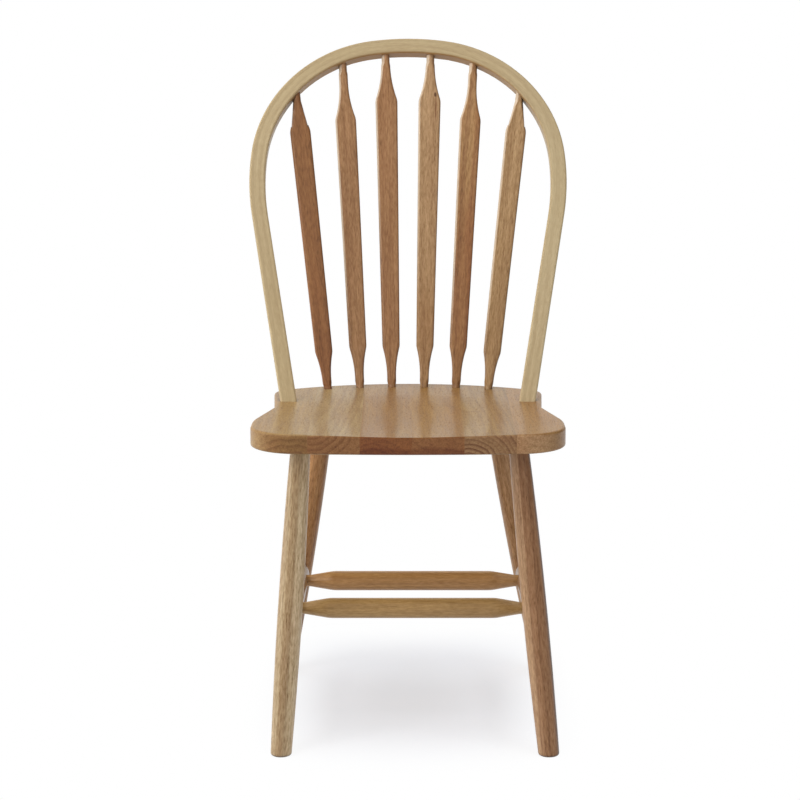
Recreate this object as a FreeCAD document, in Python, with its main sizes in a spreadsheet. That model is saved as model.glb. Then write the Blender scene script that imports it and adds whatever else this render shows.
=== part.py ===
import FreeCAD, Part
import math
import os
import Sketcher

# Windsor side chair: a bent bow, six arrow slats, a dished seat glued up from staves,
# four turned legs and a double H of turned stretchers. Every joint is a round tenon
# glued into a blind hole.
# Millimetres and degrees. Seen from in front, +X is right, +Y is back and +Z is up.
# The origin is on the floor under the middle of the overall width and depth.

# Driving dimensions. A place "from front" runs back from the middle of the seat's front edge,
# and a spread is the whole distance between a left and a right axis.

# Whole chair, out to the bow's widest, rearmost and highest points
overall_width = 473
overall_depth = 542.9
overall_height = 962.5

# Seat board
seat_height = 450
seat_thickness = 27
seat_width = 430
seat_depth = 416
front_edge_bow = 11.8
front_corner_radius = 68
side_turn_from_front = 115
side_turn_radius = 150
waist_from_front = 219
waist_width = 381
waist_radius = 22
ear_from_front = 354
ear_width = 396.5
ear_radius = 38
seat_top_ease = 4
seat_bottom_ease = 3
dish_from_front = 127
dish_depth = 8
dish_sweep_radius = 225
dish_lip = 0.4
stave_count = 6
stave_width = 70
stave_shift = 5.4

# Glued joints
joint_clearance = 0.1
glue_space = 1

# Legs, which lean over to the right as a set, by a drift under the seat and one at the floor
base_top_drift = 2.2
base_foot_drift = 9.6
leg_top_diameter = 27
leg_belly_diameter = 34
leg_foot_diameter = 28.8
leg_belly_height = 200
leg_tenon_length = 17
leg_foot_ease = 3.5
front_leg_top_spread = 298
front_leg_foot_spread = 368
front_leg_top_from_front = 77
front_leg_foot_from_front = 18
rear_leg_top_spread = 247.5
rear_leg_foot_spread = 399
rear_leg_top_from_front = 324
rear_leg_foot_from_front = 420

# Stretchers
stretcher_height = 178
stretcher_diameter = 28.5
stretcher_tenon_diameter = 17
stretcher_taper_length = 34
stretcher_neck_length = 4
stretcher_ease_radius = 60
side_tenon_length = 20
cross_tenon_length = 13
front_cross_from_front = 129
rear_cross_from_front = 282

# Bow, measured in the flat plane that it leans back in
bow_foot_from_front = 269.7
bow_foot_inset = 17.4
bow_face_width = 23.6
bow_thickness = 20
bow_arris_radius = 3
bow_crown_radius = 394
bow_crown_angle = 8.25
bow_shoulder_angle = 83.5
bow_hip_radius = 365
bow_tenon_diameter = 16
bow_tenon_length = 19

# Arrow slats
slat_thickness = 12
slat_neck_width = 13.4
slat_foot_width = 26
slat_flare_radius = 175
slat_shoulder_radius = 25
slat_edge_radius = 3.8
slat_tenon_diameter = 12
slat_seat_tenon_length = 18
slat_bow_tenon_length = 12
slat_seat_end_length = 4
slat_bow_end_length = 16
slat_end_taper_ratio = 6
slat_row_inset = 28.5
slat_row_radius = 400
inner_slat_foot_spread = 48.4
inner_slat_head_spread = 68.5
inner_slat_head_width = 33.6
inner_slat_foot_neck = 61
inner_slat_head_neck = 75
middle_slat_foot_spread = 143.4
middle_slat_head_spread = 199
middle_slat_head_width = 31.5
middle_slat_foot_neck = 61
middle_slat_head_neck = 90.5
outer_slat_foot_spread = 239
outer_slat_head_spread = 339
outer_slat_head_width = 31
outer_slat_foot_neck = 55
outer_slat_head_neck = 62

# Every number named above is a driving dimension, and goes into the sheet under its name.
DRIVING = {name: number for name, number in globals().items() if isinstance(number, (int, float))}

V = FreeCAD.Vector
SIDES = ((-1, "left"), (1, "right"))
ROWS = ("front", "rear")
PAIRS = ("inner", "middle", "outer")

doc = FreeCAD.newDocument("windsor_chair")
sheet = doc.addObject("Spreadsheet::Sheet", "Sizes")
for line, (alias, size) in enumerate(DRIVING.items(), start=1):
    sheet.set(f"A{line}", alias)
    sheet.set(f"B{line}", str(size))
    sheet.setAlias(f"B{line}", alias)
layout = doc.addObject("App::VarSet", "Layout")
doc.recompute()


# Formulas name a driving dimension as Sizes.name, and one that follows from others as Layout.name.
def value(text):
    return float(layout.evalExpression(str(text)))


def derive(name, text):
    layout.addProperty("App::PropertyFloat", name, "Derived")
    layout.setExpression(name, text)


def bind(item, **sizes):
    for name, text in sizes.items():
        item.setExpression(name, text)


def gaps_between(start, end):
    return [f"(({far}) - ({near}))" for near, far in zip(start, end)]


# What follows from the driving dimensions
def leg_axis(row, side):
    """The foot and the seat end of a leg's axis, on the floor and at the seat's underside."""
    foot = (f"Sizes.base_foot_drift + {side} * Sizes.{row}_leg_foot_spread / 2",
            f"Layout.front_y + Sizes.{row}_leg_foot_from_front",
            "0")
    top = (f"Sizes.base_top_drift + {side} * Sizes.{row}_leg_top_spread / 2",
           f"Layout.front_y + Sizes.{row}_leg_top_from_front",
           "Layout.seat_underside")
    return foot, top


def slat_axis(pair, side):
    """The ends of a slat's axis, on the seat's top and half way down its hole in the bow."""
    foot = (f"{side} * Sizes.{pair}_slat_foot_spread / 2", f"Layout.{pair}_foot_y", "Sizes.seat_height")
    head = (f"{side} * Sizes.{pair}_slat_head_spread / 2",
            f"Layout.front_y + Sizes.bow_foot_from_front + Layout.{pair}_head_up * sin(Layout.bow_recline)",
            f"Sizes.seat_height + Layout.{pair}_head_up * cos(Layout.bow_recline)")
    return foot, head


def on_arc(arc, angle):
    """A point of the bow's middle line, at an angle from straight up."""
    return (f"Layout.{arc}_x + Layout.{arc}_radius * sin({angle})",
            f"Layout.{arc}_z + Layout.{arc}_radius * cos({angle})")


derive("front_y", "-Sizes.overall_depth / 2")
derive("seat_underside", "Sizes.seat_height - Sizes.seat_thickness")

# The side stretchers join the legs of one side, the cross stretchers the side stretchers.
share = "Sizes.stretcher_height / Layout.seat_underside"
for row in ROWS:
    for side, side_name in SIDES:
        leg = f"{row}_{side_name}_leg"
        foot, top = leg_axis(row, side)
        across, back, up = gaps_between(foot, top)
        derive(f"{leg}_length", f"hypot({across}; {back}; {up})")
        derive(f"{leg}_rake", f"acos({up} / Layout.{leg}_length) / 1deg")
        derive(f"{leg}_neck",
               f"Layout.{leg}_length - Sizes.leg_top_diameter / 2 * tan(Layout.{leg}_rake)"
               " - Sizes.glue_space")
    derive(f"{row}_joint_half_spread",
           f"(Sizes.{row}_leg_foot_spread"
           f" + (Sizes.{row}_leg_top_spread - Sizes.{row}_leg_foot_spread) * {share}) / 2")
    derive(f"{row}_joint_y", f"{foot[1]} + {back} * {share}")
    derive(f"{row}_cross_y", f"Layout.front_y + Sizes.{row}_cross_from_front")
derive("joint_drift", f"Sizes.base_foot_drift + (Sizes.base_top_drift - Sizes.base_foot_drift) * {share}")
derive("joint_run", "Layout.rear_joint_y - Layout.front_joint_y")
derive("joint_splay", "Layout.rear_joint_half_spread - Layout.front_joint_half_spread")
derive("side_half_run", "hypot(Layout.joint_splay; Layout.joint_run) / 2")
for row in ROWS:
    derive(f"{row}_cross_half_run",
           "Layout.front_joint_half_spread + Layout.joint_splay"
           f" * (Layout.{row}_cross_y - Layout.front_joint_y) / Layout.joint_run")

# The bow leans back until its rounded crown reaches the overall height and depth. Half its
# thickness turns the line from its foot to its crown by a small angle, found in a few steps.
derive("crown_up", "Sizes.overall_height - Sizes.seat_height - Sizes.bow_arris_radius")
derive("crown_back", "Sizes.overall_depth - Sizes.bow_foot_from_front - Sizes.bow_arris_radius")
derive("crown_half_thick", "Sizes.bow_thickness / 2 - Sizes.bow_arris_radius")
recline = straight_recline = "atan2(Layout.crown_back; Layout.crown_up)"
for step in range(3):
    recline = (f"({straight_recline} - asin(Layout.crown_half_thick * cos(2 * {recline})"
               " / hypot(Layout.crown_up; Layout.crown_back)))")
derive("bow_recline", f"{recline} / 1deg")
derive("bow_rise",
       "(Layout.crown_up - Layout.crown_half_thick * sin(Layout.bow_recline))"
       " / cos(Layout.bow_recline) + Sizes.bow_arris_radius")

# Its middle line is three arcs a side, crown, shoulder and hip, then a straight leg that
# leans in to its foot. The shoulder's radius follows from the overall width.
derive("crown_radius", "Sizes.bow_crown_radius - Sizes.bow_face_width / 2")
derive("hip_radius", "Sizes.bow_hip_radius - Sizes.bow_face_width / 2")
derive("shoulder_radius",
       "((Sizes.overall_width - Sizes.bow_face_width) / 2 - Layout.crown_radius * sin(Sizes.bow_crown_angle)"
       " - Layout.hip_radius * (1 - sin(Sizes.bow_shoulder_angle)))"
       " / (sin(Sizes.bow_shoulder_angle) - sin(Sizes.bow_crown_angle))")
derive("crown_x", "0")
derive("crown_z", "Layout.bow_rise - Sizes.bow_crown_radius")
derive("shoulder_x", "(Layout.crown_radius - Layout.shoulder_radius) * sin(Sizes.bow_crown_angle)")
derive("shoulder_z",
       "Layout.crown_z + (Layout.crown_radius - Layout.shoulder_radius) * cos(Sizes.bow_crown_angle)")
derive("hip_x",
       "Layout.shoulder_x"
       " + (Layout.shoulder_radius - Layout.hip_radius) * sin(Sizes.bow_shoulder_angle)")
derive("hip_z",
       "Layout.shoulder_z"
       " + (Layout.shoulder_radius - Layout.hip_radius) * cos(Sizes.bow_shoulder_angle)")
derive("bow_foot_x", "Sizes.waist_width / 2 - Sizes.bow_foot_inset")
derive("bow_leg_lean",
       "(atan2(Layout.hip_z; Layout.bow_foot_x - Layout.hip_x)"
       " - acos(Layout.hip_radius / hypot(Layout.bow_foot_x - Layout.hip_x; Layout.hip_z))) / 1deg")
derive("hip_angle", "90 + Layout.bow_leg_lean")

# Slats stand in a curved row on the seat and meet the bow in the middle of their holes.
derive("mortise_inset", "(Sizes.bow_face_width - Sizes.slat_bow_tenon_length) / 2")
for pair in PAIRS:
    derive(f"{pair}_foot_y",
           "Layout.front_y + Sizes.seat_depth - Sizes.slat_row_inset - Sizes.slat_row_radius"
           f" + sqrt(Sizes.slat_row_radius^2 - (Sizes.{pair}_slat_foot_spread / 2)^2)")
    derive(f"{pair}_head_up",
           f"Sizes.{pair}_slat_head_spread / 2"
           " < (Layout.crown_radius - Layout.mortise_inset) * sin(Sizes.bow_crown_angle)"
           " ? Layout.crown_z + sqrt((Layout.crown_radius - Layout.mortise_inset)^2"
           f" - (Sizes.{pair}_slat_head_spread / 2)^2)"
           " : Layout.shoulder_z + sqrt((Layout.shoulder_radius - Layout.mortise_inset)^2"
           f" - (Sizes.{pair}_slat_head_spread / 2 - Layout.shoulder_x)^2)")
    across, back, up = gaps_between(*slat_axis(pair, 1))
    derive(f"{pair}_slat_run", f"hypot({across}; {back}; {up})")
    derive(f"{pair}_slat_recline", f"atan2({back}; {up}) / 1deg")
    derive(f"{pair}_slat_fan", f"asin({across} / Layout.{pair}_slat_run) / 1deg")
for end in ("slat_foot", *(f"{pair}_slat_head" for pair in PAIRS)):
    derive(f"{end}_flare",
           "sqrt(Sizes.slat_flare_radius^2"
           f" - (Sizes.slat_flare_radius - (Sizes.{end}_width - Sizes.slat_neck_width) / 2)^2)")
doc.recompute()


# Sketches and features
def new_body(name):
    body = doc.addObject("PartDesign::Body", name)
    body.Label = name
    return body


def origin_plane(body, role):
    return next(plane for plane in body.Origin.OriginFeatures if plane.Role == role)


def new_sketch(body, name, plane, across=0, along=0):
    """A sketch on one of the body's own planes, with its origin moved in that plane."""
    sketch = body.newObject("Sketcher::SketchObject", f"{body.Name}_{name}")
    sketch.AttachmentSupport = [(origin_plane(body, plane), "")]
    sketch.MapMode = "FlatFace"
    sketch.setExpression("AttachmentOffset.Base.x", str(across))
    sketch.setExpression("AttachmentOffset.Base.y", str(along))
    return sketch


def pin(sketch, geometry, point, place):
    """Holds a point of a sketch at a place given by two formulas."""
    for kind, text in zip(("DistanceX", "DistanceY"), place):
        rule = Sketcher.Constraint(kind, -1, 1, geometry, point, value(text))
        number = sketch.addConstraint(rule)
        sketch.setExpression(f"Constraints[{number}]", str(text))


def trace(sketch, stops, closed=True):
    """Draws lines and arcs from stop to stop. A stop is (x, y), with a third entry (x, y)
    where an arc leaves it and runs through that point."""
    count = len(stops)
    spots = [V(value(stop[0]), value(stop[1])) for stop in stops]
    segments = []
    for index in range(count if closed else count - 1):
        start = spots[index]
        end = spots[(index + 1) % count]
        runs_on = True
        bend = 0
        if len(stops[index]) > 2:
            middle = V(value(stops[index][2][0]), value(stops[index][2][1]))
            bend = (middle - start).cross(end - middle).z
        if abs(bend) < 1e-6:
            geometry = sketch.addGeometry(Part.LineSegment(start, end))
        else:
            runs_on = bend > 0
            first, last = (start, end) if runs_on else (end, start)
            geometry = sketch.addGeometry(Part.Arc(first, middle, last))
            marker = sketch.addGeometry(Part.Point(middle), True)
            sketch.addConstraint(Sketcher.Constraint("PointOnObject", marker, 1, geometry))
            pin(sketch, marker, 1, stops[index][2])
        segments.append((geometry, 1 if runs_on else 2, 2 if runs_on else 1))
    for index, (geometry, near, far) in enumerate(segments):
        pin(sketch, geometry, near, stops[index][:2])
        if closed or index + 1 < len(segments):
            follower, follower_near = segments[(index + 1) % len(segments)][:2]
            rule = Sketcher.Constraint("Coincident", geometry, far, follower, follower_near)
            sketch.addConstraint(rule)
        else:
            pin(sketch, geometry, far, stops[-1][:2])


def add_feature(body, kind, name, sketch=None, **sizes):
    feature = body.newObject(f"PartDesign::{kind}", f"{body.Name}_{name}")
    if sketch:
        feature.Profile = sketch
    bind(feature, **sizes)
    return feature


def turn(body, kind, sketch):
    """Turns a sketch about its own upright axis: a Revolution adds, a Groove cuts."""
    feature = add_feature(body, kind, kind.lower(), sketch)
    feature.ReferenceAxis = (sketch, ["V_Axis"])
    feature.Angle = 360
    doc.recompute()
    return feature


def cut_level(body, plane, slope, reach):
    """Cuts off what lies below a line through the body's origin that rises by slope."""
    sketch = new_sketch(body, "level", plane)
    rise = f"{reach} * tan({slope})"
    trace(sketch, [(f"-{reach}", f"-{rise}"),
                   (f"-{reach}", f"-2 * {reach}"),
                   (reach, f"-2 * {reach}"),
                   (reach, rise)])
    feature = add_feature(body, "Pocket", "level_cut", sketch)
    feature.Type = "ThroughAll"
    feature.Midplane = True
    doc.recompute()
    return feature


def fillet(body, name, base, radius, wanted):
    feature = add_feature(body, "Fillet", name, Radius=radius)
    numbered = enumerate(base.Shape.Edges, start=1)
    feature.Base = (base, [f"Edge{number}" for number, edge in numbered if wanted(edge)])
    doc.recompute()
    return feature


def same(*lengths):
    """Whether lengths agree to a thousandth of a millimetre."""
    return max(lengths) - min(lengths) < 1e-3


def at_corner(corners, axis):
    """Picks the edges along one axis whose other two coordinates match a corner."""
    spots = [(value(first), value(second)) for first, second in corners]

    def wanted(edge):
        box = edge.BoundBox
        lengths = (box.XLength, box.YLength, box.ZLength)
        center = [place for place, name in zip(box.Center, "XYZ") if name != axis]
        near = any(same(math.dist(center, spot), 0) for spot in spots)
        return near and not same(lengths["XYZ".index(axis)], 0)
    return wanted


def at_height(heights):
    """Picks the edges that lie flat at one of the heights."""
    levels = [value(height) for height in heights]

    def wanted(edge):
        box = edge.BoundBox
        return any(same(box.ZMin, box.ZMax, level) for level in levels)
    return wanted


# Placing and jointing
def point(place):
    return "vector({}; {}; {})".format(*place)


def aim(item, start, end):
    """Puts an object at start, with its own Z axis towards end."""
    across, back, up = gaps_between(start, end)
    swing = f"atan2({back}; {across})"
    tilt = f"atan2(hypot({across}; {back}); {up})"
    bind(item, Placement=f"placement({point(start)}; rotation({swing}; {tilt}; 0))")
    doc.recompute()


def drill(name, piece, start, end, diameter, side_step=0, side_tilt=0):
    """A round hole for a tenon, from start to end along the piece's own Z axis, which may
    be stepped and tilted sideways."""
    hole = doc.addObject("Part::Cylinder", name)
    bind(hole,
         Radius=f"{diameter} / 2 + Sizes.joint_clearance",
         Height=f"({end}) - ({start})",
         Placement=f"{piece.Name}.Placement"
                   f" * placement(vector({side_step}; 0; 0); rotation(0; {side_tilt}; 0))"
                   f" * placement(vector(0; 0; {start}); rotation(0; 0; 0))")
    return hole


def drilled(name, blank, holes):
    """The blank with its holes. It is the finished piece and carries its name."""
    tool = holes[0]
    if len(holes) > 1:
        tool = doc.addObject("Part::MultiFuse", f"{name}_holes")
        tool.Shapes = holes
    piece = doc.addObject("Part::Cut", name)
    piece.Label = name
    piece.Base = blank
    piece.Tool = tool
    doc.recompute()
    return piece


subparts = []
seat_holes = []


# Legs: barrel turned, raked both ways, their feet cut level with the floor
def turned_leg(name, row, side):
    """A leg blank about its own Z axis, with the middle of its foot at its origin."""
    body = new_body(f"{name}_blank")
    top, belly, foot = (f"Sizes.leg_{part}_diameter / 2" for part in ("top", "belly", "foot"))
    neck = f"Layout.{name}_neck"
    tip = f"Layout.{name}_length + Sizes.leg_tenon_length"
    # The blank runs on below the floor along the same curve, to be cut off.
    spare_end = f"-{foot}"
    spare = f"({belly} - ({belly} - {foot}) * (1 + {foot} / Sizes.leg_belly_height)^2)"
    lower_bulge = (f"{belly} - ({belly} - {spare}) / 4", f"(Sizes.leg_belly_height - {foot}) / 2")
    upper_bulge = (f"{belly} - ({belly} - {top}) / 4", f"(Sizes.leg_belly_height + {neck}) / 2")
    profile = new_sketch(body, "profile", "XZ_Plane")
    trace(profile, [("0", spare_end),
                    (spare, spare_end, lower_bulge),
                    (belly, "Sizes.leg_belly_height", upper_bulge),
                    (top, neck),
                    (top, tip),
                    ("0", tip)])
    turn(body, "Revolution", profile)
    levelled = cut_level(body, "XZ_Plane", f"Layout.{name}_rake", "Sizes.leg_foot_diameter")
    slope = math.tan(math.radians(value(f"Layout.{name}_rake")))
    fillet(body, "foot_ease", levelled, "Sizes.leg_foot_ease",
           lambda edge: all(same(spot.z, spot.x * slope) for spot in edge.discretize(Number=5)))
    aim(body, *leg_axis(row, side))
    return body


# Stretchers: turned, thick in the middle, tapered down to their tenons
def turned_stretcher(name, half_run, host_diameter, tenon_length):
    """A stretcher about the middle of its own Z axis, between two hosts' axes."""
    body = new_body(name)
    thick, thin = "Sizes.stretcher_diameter / 2", "Sizes.stretcher_tenon_diameter / 2"
    host_face = f"{half_run} - {host_diameter} / 2"
    neck = f"{host_face} - Sizes.stretcher_neck_length"
    shoulder = f"{neck} - Sizes.stretcher_taper_length"
    tip = f"{host_face} + {tenon_length}"
    profile = new_sketch(body, "profile", "XZ_Plane")
    trace(profile, [("0", f"-({tip})"),
                    (thin, f"-({tip})"),
                    (thin, f"-({neck})"),
                    (thick, f"-({shoulder})"),
                    (thick, shoulder),
                    (thin, neck),
                    (thin, tip),
                    ("0", tip)])
    turned = turn(body, "Revolution", profile)
    fillet(body, "ease", turned, "Sizes.stretcher_ease_radius",
           at_height((shoulder, f"-({shoulder})")))
    return body


def end_hole(name, piece, end, half_run, host_diameter, tenon_length):
    """The hole in a host for the tenon at one end of a stretcher."""
    outside = f"({half_run} - {host_diameter})"
    bottom = f"({half_run} - {host_diameter} / 2 + {tenon_length} + Sizes.glue_space)"
    span = (outside, bottom) if end > 0 else (f"-{bottom}", f"-{outside}")
    return drill(name, piece, span[0], span[1], "Sizes.stretcher_tenon_diameter")


cross_stretchers = {}
for row in ROWS:
    cross = turned_stretcher(f"{row}_cross_stretcher", f"Layout.{row}_cross_half_run",
                             "Sizes.stretcher_diameter", "Sizes.cross_tenon_length")
    aim(cross, ("Layout.joint_drift", f"Layout.{row}_cross_y", "Sizes.stretcher_height"),
        (f"Layout.joint_drift + Layout.{row}_cross_half_run", f"Layout.{row}_cross_y",
         "Sizes.stretcher_height"))
    cross_stretchers[row] = cross
    subparts.append(cross)

for side, side_name in SIDES:
    rail = turned_stretcher(f"{side_name}_side_stretcher_blank", "Layout.side_half_run",
                            "Sizes.leg_belly_diameter", "Sizes.side_tenon_length")
    joints = [(f"Layout.joint_drift + {side} * Layout.{row}_joint_half_spread",
               f"Layout.{row}_joint_y",
               "Sizes.stretcher_height")
              for row in ROWS]
    middle = [f"({near} + {far}) / 2" for near, far in zip(*joints)]
    aim(rail, middle, joints[1])
    holes = [end_hole(f"{side_name}_{row}_cross_hole", cross_stretchers[row], side,
                      f"Layout.{row}_cross_half_run", "Sizes.stretcher_diameter", "Sizes.cross_tenon_length")
             for row in ROWS]
    subparts.append(drilled(f"{side_name}_side_stretcher", rail, holes))
    for row, end in zip(ROWS, (-1, 1)):
        name = f"{row}_{side_name}_leg"
        leg = turned_leg(name, row, side)
        hole = end_hole(f"{name}_side_hole", rail, end, "Layout.side_half_run",
                        "Sizes.leg_belly_diameter", "Sizes.side_tenon_length")
        subparts.append(drilled(name, leg, [hole]))
        seat_holes.append(drill(f"{name}_seat_hole", leg,
                                f"Layout.{name}_length - Sizes.leg_top_diameter",
                                f"Layout.{name}_length + Sizes.leg_tenon_length + Sizes.glue_space",
                                "Sizes.leg_top_diameter"))

# Bow: bent from one strip of a rounded section, its two feet cut level with the seat
bow_blank = new_body("bow_blank")
section = new_sketch(bow_blank, "section", "YZ_Plane", along="Layout.bow_rise - Sizes.bow_face_width / 2")
half_thick, half_face, arris = "Sizes.bow_thickness / 2", "Sizes.bow_face_width / 2", "Sizes.bow_arris_radius"
corner_arc = f"{arris} * (1 - cos(45))"
section_stops = []
for turn_x, turn_y in ((1, -1), (1, 1), (-1, 1), (-1, -1)):
    flat = (f"{turn_x} * ({half_thick} - {arris})", f"{turn_y} * {half_face}")
    upright = (f"{turn_x} * {half_thick}", f"{turn_y} * ({half_face} - {arris})")
    through = (f"{turn_x} * ({half_thick} - {corner_arc})", f"{turn_y} * ({half_face} - {corner_arc})")
    first, last = (flat, upright) if turn_x != turn_y else (upright, flat)
    section_stops += [(*first, through), last]
trace(section, section_stops)

spine = new_sketch(bow_blank, "spine", "XZ_Plane")
trace(spine, [("0", "Layout.bow_rise - Sizes.bow_face_width / 2",
               on_arc("crown", "Sizes.bow_crown_angle / 2")),
              (*on_arc("crown", "Sizes.bow_crown_angle"),
               on_arc("shoulder", "((Sizes.bow_crown_angle + Sizes.bow_shoulder_angle) / 2)")),
              (*on_arc("shoulder", "Sizes.bow_shoulder_angle"),
               on_arc("hip", "((Sizes.bow_shoulder_angle + Layout.hip_angle) / 2)")),
              on_arc("hip", "Layout.hip_angle"),
              ("Layout.bow_foot_x - Sizes.bow_thickness * tan(Layout.bow_leg_lean)", "-Sizes.bow_thickness")],
      closed=False)
doc.recompute()

bent_half = add_feature(bow_blank, "AdditivePipe", "bent_half", section)
bent_half.Spine = spine
doc.recompute()
bent_bow = add_feature(bow_blank, "Mirrored", "bent_bow")
bent_bow.Originals = [bent_half]
bent_bow.MirrorPlane = (origin_plane(bow_blank, "YZ_Plane"), [""])
bow_blank.Tip = bent_bow
doc.recompute()
cut_level(bow_blank, "YZ_Plane", "Layout.bow_recline", "Sizes.bow_thickness")
for side, side_name in SIDES:
    tenon = add_feature(bow_blank, "AdditiveCylinder", f"{side_name}_tenon",
                        Radius="Sizes.bow_tenon_diameter / 2",
                        Height="Sizes.bow_tenon_length + Sizes.bow_thickness")
    bind(tenon, Placement=f"placement(vector({side} * Layout.bow_foot_x; 0; 0);"
                          f" rotation(0; 180 + {side} * Layout.bow_leg_lean; 0))"
                          " * placement(vector(0; 0; -Sizes.bow_thickness); rotation(0; 0; 0))")
    doc.recompute()
bind(bow_blank,
     Placement="placement("
               "vector(0; Layout.front_y + Sizes.bow_foot_from_front; Sizes.seat_height);"
               " rotation(0; 0; -Layout.bow_recline))")
doc.recompute()
for side, side_name in SIDES:
    seat_holes.append(drill(f"bow_{side_name}_seat_hole", bow_blank,
                            "-Sizes.bow_thickness", "Sizes.bow_tenon_length + Sizes.glue_space",
                            "Sizes.bow_tenon_diameter", side_step=f"{side} * Layout.bow_foot_x",
                            side_tilt=f"180 + {side} * Layout.bow_leg_lean"))


# Arrow slats: flat blades with flared necks, rounded edges and round ends
def flare_bulge(flare):
    """Half width half way along a flare, which leaves the neck without a kink."""
    return ("Sizes.slat_neck_width / 2 + Sizes.slat_flare_radius"
            f" - sqrt(Sizes.slat_flare_radius^2 - ({flare} / 2)^2)")


def arrow_slat(name, pair, side):
    """A slat about its own Z axis, from the seat's top at its origin up into the bow."""
    body = new_body(name)
    neck, foot = "Sizes.slat_neck_width / 2", "Sizes.slat_foot_width / 2"
    head = f"Sizes.{pair}_slat_head_width / 2"
    foot_flare, head_flare = "Layout.slat_foot_flare", f"Layout.{pair}_slat_head_flare"
    bottom = "-Sizes.slat_seat_tenon_length"
    top = f"Layout.{pair}_slat_run + Sizes.slat_bow_tenon_length / 2 - Sizes.glue_space"
    foot_shoulder = f"Sizes.{pair}_slat_foot_neck"
    head_shoulder = f"Layout.{pair}_slat_run - Sizes.{pair}_slat_head_neck"
    foot_bulge = (flare_bulge(foot_flare), f"{foot_shoulder} - {foot_flare} / 2")
    head_bulge = (flare_bulge(head_flare), f"{head_shoulder} + {head_flare} / 2")
    right = [(neck, bottom),
             (neck, f"{foot_shoulder} - {foot_flare}", foot_bulge),
             (foot, foot_shoulder),
             (head, head_shoulder, head_bulge),
             (neck, f"{head_shoulder} + {head_flare}"),
             (neck, top)]
    left = [(f"-({neck})", top),
            (f"-({neck})", f"{head_shoulder} + {head_flare}", (f"-({head_bulge[0]})", head_bulge[1])),
            (f"-({head})", head_shoulder),
            (f"-({foot})", foot_shoulder, (f"-({foot_bulge[0]})", foot_bulge[1])),
            (f"-({neck})", f"{foot_shoulder} - {foot_flare}"),
            (f"-({neck})", bottom)]
    outline = new_sketch(body, "outline", "XZ_Plane")
    trace(outline, right + left)
    board = add_feature(body, "Pad", "board", outline, Length="Sizes.slat_thickness")
    board.Midplane = True
    doc.recompute()

    shoulders = [(f"{side_sign} * {half}", height) for side_sign in (-1, 1)
                 for half, height in ((foot, foot_shoulder), (head, head_shoulder))]
    softened = fillet(body, "shoulders", board, "Sizes.slat_shoulder_radius", at_corner(shoulders, "Y"))
    face = value("Sizes.slat_thickness / 2")
    rounded = fillet(body, "edges", softened, "Sizes.slat_edge_radius",
                     lambda edge: same(abs(edge.BoundBox.YMin), abs(edge.BoundBox.YMax), face)
                     and same(edge.BoundBox.YLength, 0)
                     and not same(edge.BoundBox.ZLength, 0))

    ends = new_sketch(body, "ends", "XZ_Plane")
    tenon, clear = "Sizes.slat_tenon_diameter / 2", "Sizes.slat_neck_width"
    cone = f"({clear} - {tenon}) * Sizes.slat_end_taper_ratio"
    seat_end = "Sizes.slat_seat_end_length"
    bow_end = f"Layout.{pair}_slat_run - Sizes.slat_bow_end_length"
    trace(ends, [(tenon, f"{bottom} - Sizes.glue_space"),
                 (clear, f"{bottom} - Sizes.glue_space"),
                 (clear, f"{seat_end} + {cone}"),
                 (tenon, seat_end)])
    trace(ends, [(tenon, bow_end),
                 (clear, f"{bow_end} - {cone}"),
                 (clear, f"{top} + Sizes.glue_space"),
                 (tenon, f"{top} + Sizes.glue_space")])
    turn(body, "Groove", ends)
    bind(body, Placement=f"placement({point(slat_axis(pair, side)[0])};"
                         f" rotation(0; 0; -Layout.{pair}_slat_recline)"
                         f" * rotation(0; {side} * Layout.{pair}_slat_fan; 0))")
    doc.recompute()
    return body


bow_holes = []
slat_order = [(pair, -1) for pair in reversed(PAIRS)] + [(pair, 1) for pair in PAIRS]
for number, (pair, side) in enumerate(slat_order, start=1):
    slat = arrow_slat(f"arrow_slat_{number}", pair, side)
    subparts.append(slat)
    seat_holes.append(drill(f"slat_{number}_seat_hole", slat,
                            "-Sizes.slat_seat_tenon_length - Sizes.glue_space", "Sizes.slat_thickness",
                            "Sizes.slat_tenon_diameter"))
    bow_holes.append(drill(f"slat_{number}_bow_hole", slat,
                           f"Layout.{pair}_slat_run - Sizes.bow_face_width",
                           f"Layout.{pair}_slat_run + Sizes.slat_bow_tenon_length / 2",
                           "Sizes.slat_tenon_diameter"))
subparts.append(drilled("bow", bow_blank, bow_holes))

# Seat: waisted outline, eased edges and a shallow turned dish
seat_blank = new_body("seat_blank")
half_width, half_waist, half_ear = "Sizes.seat_width / 2", "Sizes.waist_width / 2", "Sizes.ear_width / 2"
outline = new_sketch(seat_blank, "outline", "XY_Plane")
trace(outline, [(f"-{half_width}", "Sizes.front_edge_bow", ("0", "0")),
                (half_width, "Sizes.front_edge_bow"),
                (half_width, "Sizes.side_turn_from_front"),
                (half_waist, "Sizes.waist_from_front"),
                (half_ear, "Sizes.ear_from_front", ("0", "Sizes.seat_depth")),
                (f"-{half_ear}", "Sizes.ear_from_front"),
                (f"-{half_waist}", "Sizes.waist_from_front"),
                (f"-{half_width}", "Sizes.side_turn_from_front")])
board = add_feature(seat_blank, "Pad", "board", outline, Length="Sizes.seat_thickness")
doc.recompute()
corners = (("front_corner", half_width, "Sizes.front_edge_bow"),
           ("side_turn", half_width, "Sizes.side_turn_from_front"),
           ("waist", half_waist, "Sizes.waist_from_front"),
           ("ear", half_ear, "Sizes.ear_from_front"))
for name, across, back in corners:
    board = fillet(seat_blank, name, board, f"Sizes.{name}_radius",
                   at_corner([(f"-{across}", back), (across, back)], "Z"))
board = fillet(seat_blank, "bottom_ease", board, "Sizes.seat_bottom_ease", at_height(["0"]))
board = fillet(seat_blank, "top_ease", board, "Sizes.seat_top_ease", at_height(["Sizes.seat_thickness"]))

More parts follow.
